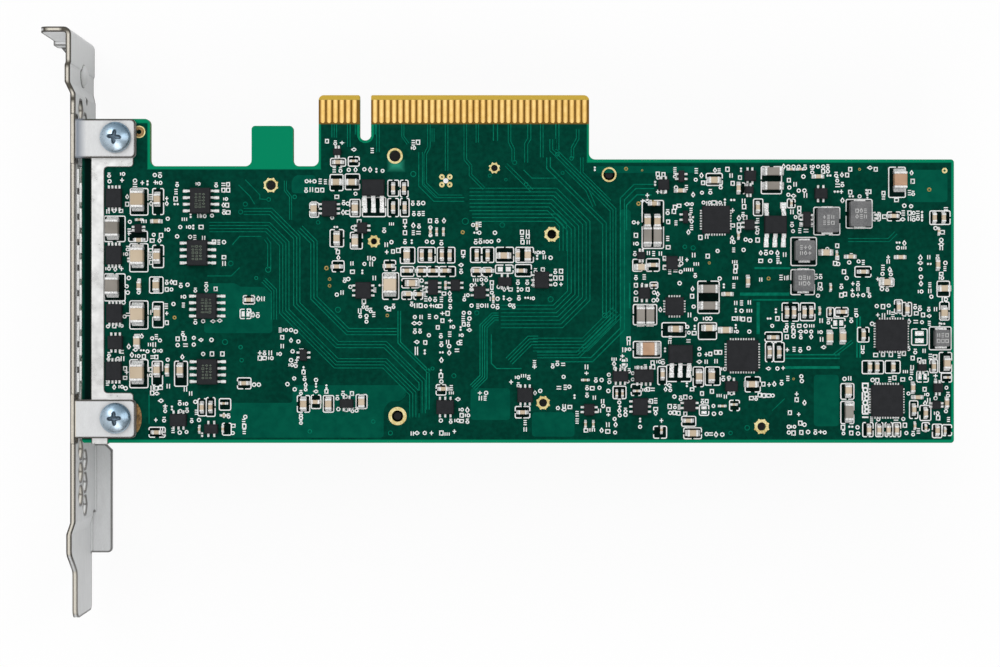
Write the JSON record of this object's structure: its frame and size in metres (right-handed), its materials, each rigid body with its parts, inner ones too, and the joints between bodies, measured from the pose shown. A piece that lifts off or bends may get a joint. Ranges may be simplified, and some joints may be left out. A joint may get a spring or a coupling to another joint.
{
  "type": "host bus adapter card",
  "caption": "Long low plug-in card with a gold contact edge, surface-mounted chips, a finned heat sink, a ganged port cage and a tall folded steel bracket.",
  "frame": {"origin": "middle of the key notch on the contact edge, half way through the board thickness", "axes": "+X along the board away from the bracket, +Y out of the contact edge, +Z out of the solder side"},
  "size_m": [0.177, 0.1143, 0.0237],
  "materials": {
    "board": "glossy green solder mask",
    "gold": "gold plated",
    "bracket_steel": "satin plated steel",
    "zinc": "bright zinc",
    "tinned": "tin plated",
    "spring_steel": "bright spring steel",
    "cage_steel": "satin nickel",
    "black_plastic": "moulded",
    "chip_black": "moulded epoxy",
    "pad_grey": "soft pad",
    "sink_aluminium": "plain extruded",
    "pin_black": "moulded push pin",
    "inductor_grey": "pressed powder",
    "ceramic_tan": "fired ceramic"
  },
  "bodies": {
    "root": {"circuit_board": "board", "contact_fingers": "gold", "bracket": "bracket_steel", "bracket_screws": "zinc", "bracket_nuts": "zinc", "ground_strap": "tinned", "emi_gasket": "spring_steel", "cage_base": "cage_steel", "cage_cover": "cage_steel", "cage_dividers": "cage_steel", "port_sockets": "black_plastic", "port_blades": "gold", "controller_chip": "chip_black", "thermal_pad": "pad_grey", "heat_sink": "sink_aluminium", "heat_sink_pins": "pin_black", "driver_chip_bodies": "chip_black", "driver_chip_leads": "tinned", "boot_memory_body": "chip_black", "boot_memory_leads": "tinned", "leadless_chips": "chip_black", "square_chips": "chip_black", "transistor_bodies": "chip_black", "transistor_leads": "tinned", "small_chips": "chip_black", "inductors": "inductor_grey", "big_capacitor_bodies": "ceramic_tan", "big_capacitor_ends": "tinned", "long_capacitor_bodies": "ceramic_tan", "long_capacitor_ends": "tinned", "mid_capacitors": "ceramic_tan", "small_capacitors": "ceramic_tan", "tiny_capacitors": "ceramic_tan", "coupling_capacitors": "ceramic_tan", "clock_can": "cage_steel"}
  },
  "joints": []
}
